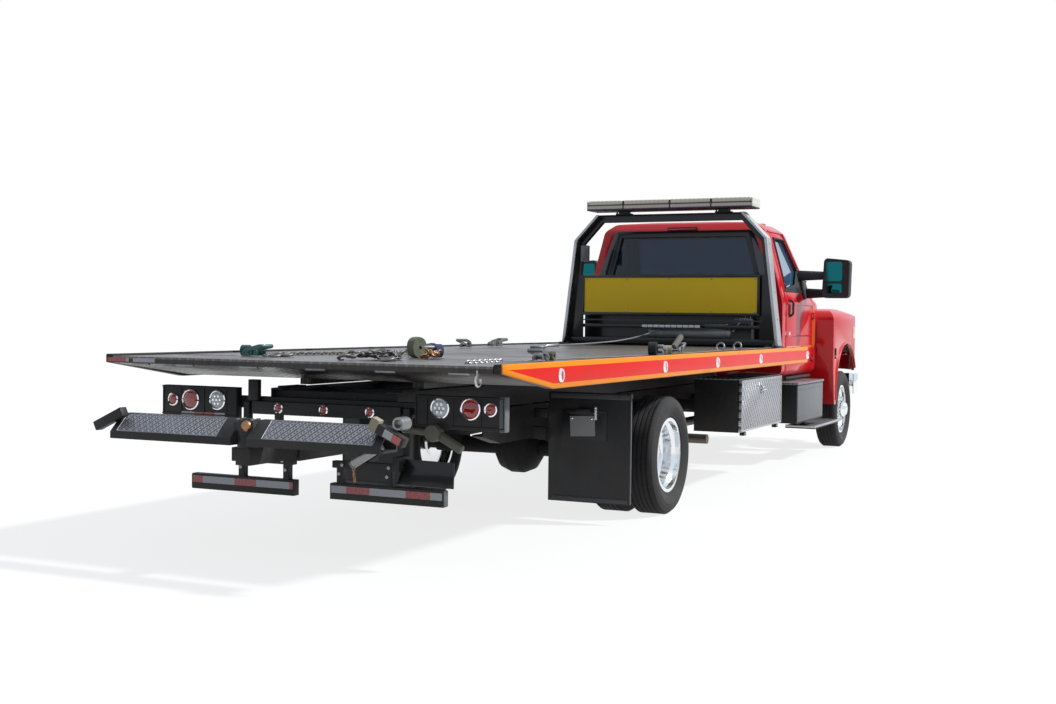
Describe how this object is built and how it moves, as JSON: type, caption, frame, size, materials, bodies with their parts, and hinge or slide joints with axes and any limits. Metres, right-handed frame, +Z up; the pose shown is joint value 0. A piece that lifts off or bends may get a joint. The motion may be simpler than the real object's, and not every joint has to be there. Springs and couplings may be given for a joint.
{
  "type": "flatbed tow truck",
  "caption": "Conventional-cab flatbed tow truck: tilting and sliding steel bed with headboard and winch, wheel lift behind the tail, side tool boxes and twin rear wheels.",
  "frame": {"origin": "on the ground, at the middle of the truck's bounding box", "axes": "+X to the truck's left, +Y to its tail, +Z up; the truck faces -Y"},
  "size_m": [2.998, 10.16, 2.546],
  "materials": {
    "frame_black": "satin chassis black",
    "axle_black": "painted castings",
    "engine": "painted block",
    "exhaust_steel": "heat-stained steel",
    "step_grey": "satin grey",
    "box_black": "gloss black",
    "tread_plate": "embossed tread plate",
    "flap_rubber": "dull rubber",
    "chrome": "bright chrome",
    "red_paint": "gloss red enamel",
    "glass": "tinted glass",
    "seat_cloth": "woven seat cloth",
    "trim_black": "grained plastic",
    "rim": "polished aluminium",
    "tyre": "tyre rubber",
    "cylinder": "gloss black",
    "rod_chrome": "hard chrome",
    "deck_steel": "worn tread plate",
    "rail_red": "gloss red with amber stripes",
    "headboard_black": "gloss black",
    "lamp_bar": "clear and amber lens",
    "cable_steel": "wound steel rope",
    "lift_steel": "worn steel"
  },
  "bodies": {
    "truck": {"chassis_frame": "frame_black", "front_axle": "frame_black", "rear_axle": "axle_black", "leaf_springs": "frame_black", "engine": "engine", "exhaust": "exhaust_steel", "step_boxes": "step_grey", "tool_boxes": "box_black", "mud_flaps": "flap_rubber", "front_bumper": "chrome", "cab_shell": "red_paint", "cab_glass": "glass", "seats": "seat_cloth", "dashboard": "trim_black"},
    "steering": {"steering_wheel": "trim_black"},
    "box_door_left": {"tool_door_left": "tread_plate"},
    "box_door_right": {"tool_door_right": "tread_plate"},
    "cab_door_left": {"door_left": "red_paint", "door_glass_left": "glass", "mirror_left": "trim_black"},
    "cab_door_right": {"door_right": "red_paint", "door_glass_right": "glass", "mirror_right": "trim_black"},
    "bonnet": {"hood": "red_paint", "grille": "chrome"},
    "steer_left": {"knuckle_left": "axle_black"},
    "steer_right": {"knuckle_right": "axle_black"},
    "wheel_front_left": {"front_rim_left": "rim", "front_tyre_left": "tyre"},
    "wheel_front_right": {"front_rim_right": "rim", "front_tyre_right": "tyre"},
    "wheels_rear_left": {"rear_rims_left": "rim", "rear_tyres_left": "tyre"},
    "wheels_rear_right": {"rear_rims_right": "rim", "rear_tyres_right": "tyre"},
    "subframe": {"tilt_frame": "frame_black", "tail_frame": "box_black", "slide_barrel": "cylinder"},
    "ram_barrels": {"tilt_barrels": "cylinder"},
    "ram_rods": {"tilt_rods": "rod_chrome"},
    "bed": {"bed_deck": "deck_steel", "bed_rails": "rail_red", "headboard": "headboard_black", "light_bar": "lamp_bar", "winch": "box_black", "slide_rod": "rod_chrome"},
    "drum": {"winch_drum": "cable_steel"},
    "boom": {"lift_boom": "frame_black"},
    "stinger": {"lift_stinger": "lift_steel"},
    "crossbar": {"lift_crossbar": "lift_steel"}
  },
  "joints": [
    {"name": "steer_right_turn", "type": "hinge", "parent": "truck", "child": "steer_right", "pos_m": [-0.9055, -4.23, 0.419], "axis": [0, 0, 1], "range_deg": [-32, 32]},
    {"name": "steer_left_turn", "type": "hinge", "parent": "truck", "child": "steer_left", "pos_m": [0.9055, -4.23, 0.419], "axis": [0, 0, 1], "range_deg": [-32, 32]},
    {"name": "steering_wheel_turn", "type": "hinge", "parent": "truck", "child": "steering", "pos_m": [0.43, -2.97, 1.5], "axis": [0, 0.766, 0.6428], "range_deg": [-512, 512]},
    {"name": "wheel_front_left_spin", "type": "hinge", "parent": "steer_left", "child": "wheel_front_left", "pos_m": [1.0575, -4.23, 0.419], "axis": [1, 0, 0], "continuous": true},
    {"name": "wheel_front_right_spin", "type": "hinge", "parent": "steer_right", "child": "wheel_front_right", "pos_m": [-1.0575, -4.23, 0.419], "axis": [1, 0, 0], "continuous": true},
    {"name": "wheels_rear_left_spin", "type": "hinge", "parent": "truck", "child": "wheels_rear_left", "pos_m": [0.9365, 1.67, 0.419], "axis": [1, 0, 0], "continuous": true},
    {"name": "wheels_rear_right_spin", "type": "hinge", "parent": "truck", "child": "wheels_rear_right", "pos_m": [-0.9365, 1.67, 0.419], "axis": [1, 0, 0], "continuous": true},
    {"name": "hood_tilt", "type": "hinge", "parent": "truck", "child": "bonnet", "pos_m": [0, -4.94, 0.865], "axis": [1, 0, 0], "range_deg": [0, 45]},
    {"name": "cab_door_left_swing", "type": "hinge", "parent": "truck", "child": "cab_door_left", "pos_m": [1.034, -3.324, 1.22], "axis": [0, 0, -1], "range_deg": [0, 65]},
    {"name": "cab_door_right_swing", "type": "hinge", "parent": "truck", "child": "cab_door_right", "pos_m": [-1.034, -3.324, 1.22], "axis": [0, 0, 1], "range_deg": [0, 65]},
    {"name": "box_door_left_drop", "type": "hinge", "parent": "truck", "child": "box_door_left", "pos_m": [1.1865, -0.72, 0.434], "axis": [0, 1, 0], "range_deg": [0, 90]},
    {"name": "box_door_right_drop", "type": "hinge", "parent": "truck", "child": "box_door_right", "pos_m": [-1.1865, -0.72, 0.434], "axis": [0, -1, 0], "range_deg": [0, 90]},
    {"name": "bed_tilt", "type": "hinge", "parent": "truck", "child": "subframe", "pos_m": [0, 3.01, 0.74], "axis": [-1, 0, 0], "range_deg": [0, 12.8]},
    {"name": "bed_slide", "type": "slide", "parent": "subframe", "child": "bed", "axis": [0, 1, 0], "range_m": [0, 3.2]},
    {"name": "ram_swing", "type": "hinge", "parent": "truck", "child": "ram_barrels", "pos_m": [0, -0.5, 0.6], "axis": [1, 0, 0], "range_deg": [0, 10.9]},
    {"name": "ram_extend", "type": "slide", "parent": "ram_barrels", "child": "ram_rods", "axis": [0, 0.9905, 0.1376], "range_m": [0, 0.1403]},
    {"name": "drum_spin", "type": "hinge", "parent": "bed", "child": "drum", "pos_m": [0, -1.84, 1.258], "axis": [1, 0, 0], "continuous": true},
    {"name": "lift_lower", "type": "hinge", "parent": "subframe", "child": "boom", "pos_m": [0, 3.73, 0.64], "axis": [1, 0, 0], "range_deg": [-15, 0]},
    {"name": "lift_extend", "type": "slide", "parent": "boom", "child": "stinger", "axis": [0, 1, 0], "range_m": [0, 0.6]},
    {"name": "crossbar_swivel", "type": "hinge", "parent": "stinger", "child": "crossbar", "pos_m": [0, 4.99, 0.76], "axis": [0, 0, 1], "range_deg": [-18, 18]}
  ],
  "couplings": [
    {"joint": "steer_left_turn", "follows": "steer_right_turn", "ratio": 1},
    {"joint": "steering_wheel_turn", "follows": "steer_right_turn", "ratio": 16},
    {"joint": "ram_swing", "follows": "bed_tilt", "ratio": 0.8478},
    {"joint": "ram_extend", "follows": "bed_tilt", "m_per_rad": 0.6234}
  ]
}
